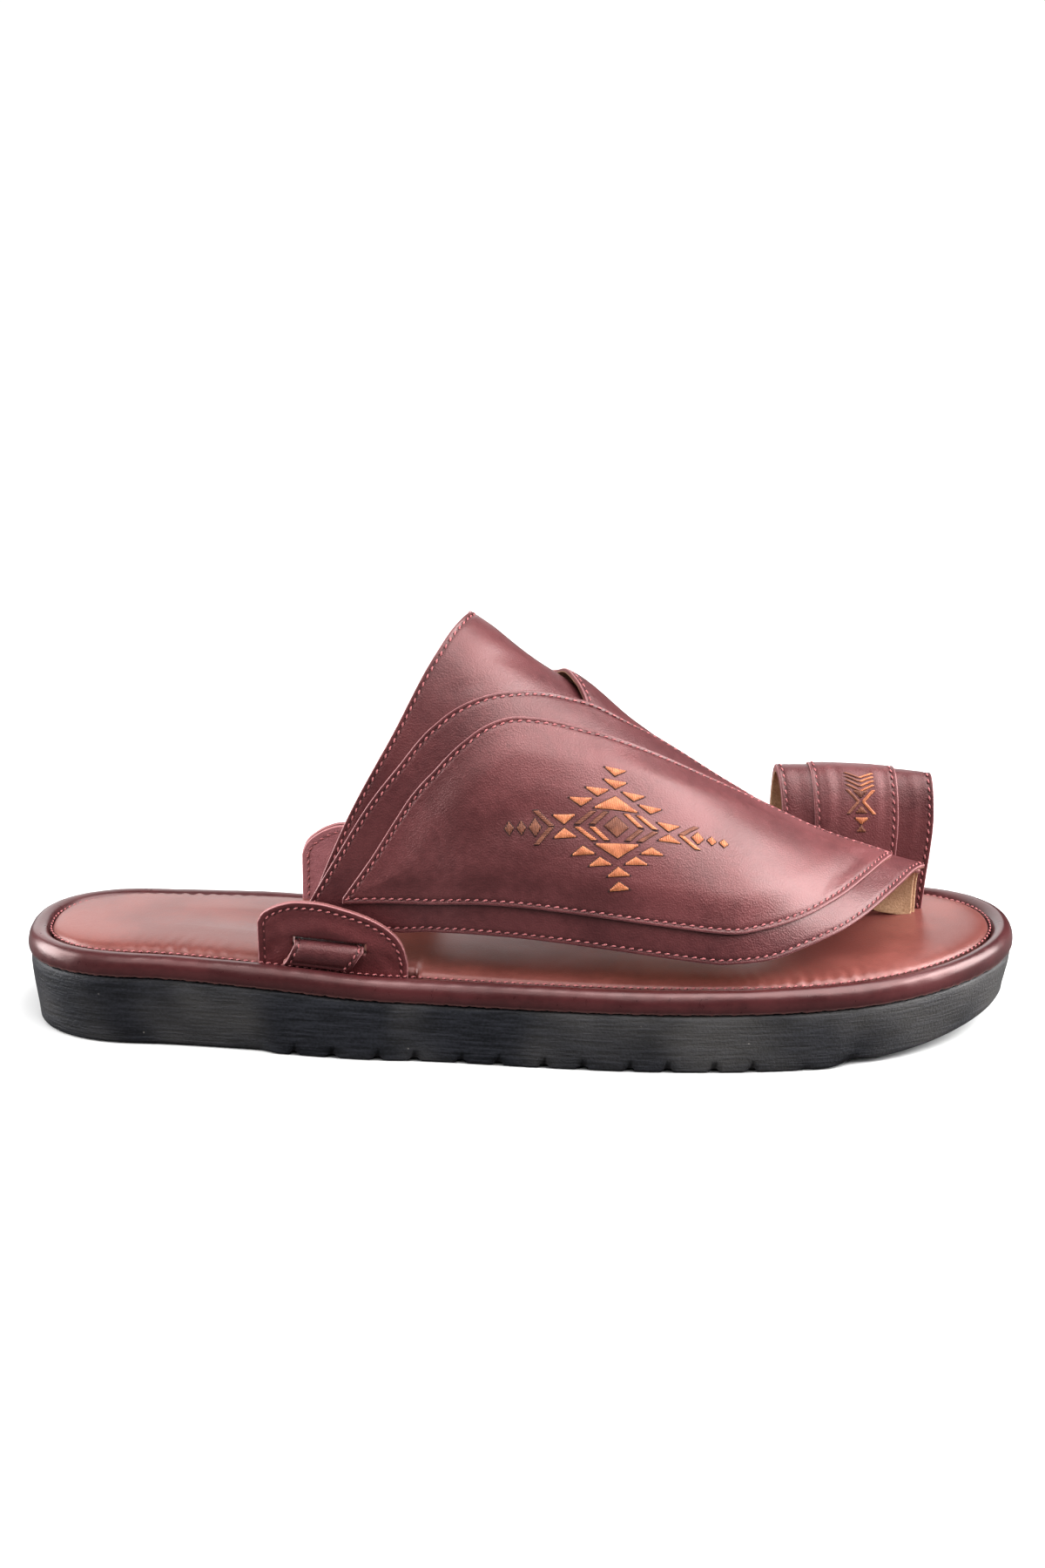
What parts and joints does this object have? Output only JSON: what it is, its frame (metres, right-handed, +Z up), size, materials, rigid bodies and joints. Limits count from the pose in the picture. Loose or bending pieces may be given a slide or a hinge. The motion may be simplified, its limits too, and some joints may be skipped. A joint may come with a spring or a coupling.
{
  "type": "arabic sandal",
  "caption": "Right leather sandal with crossed leaf straps, a great toe loop, stitched ears and a padded footbed on a rubber sole",
  "frame": {"origin": "on the ground under the middle of the sole's length and width", "axes": "+X to the toe along the sole, +Y to the medial side, +Z up"},
  "size_m": [0.29, 0.0986, 0.1216],
  "materials": {
    "outsole_rubber": "satin black moulded rubber",
    "rim_leather": "polished burgundy leather, wrapped over a rolled rim",
    "footbed_leather": "smooth burgundy lining leather with a soft shine",
    "strap_leather": "burgundy calf with a fine grain and a tan lining",
    "panel_leather": "burgundy calf with a fine grain, stitched border and orange thread embroidery",
    "ear_leather": "polished burgundy leather with a stitched border"
  },
  "bodies": {
    "root": {"outsole": "outsole_rubber", "midsole": "rim_leather", "footbed": "footbed_leather", "upper": "strap_leather", "leaf_overlay": "panel_leather", "toe_loop": "strap_leather", "toe_loop_band": "panel_leather", "lateral_ear": "ear_leather", "medial_ear": "ear_leather", "lateral_strap_tab": "strap_leather", "medial_strap_tab": "strap_leather"}
  },
  "joints": []
}
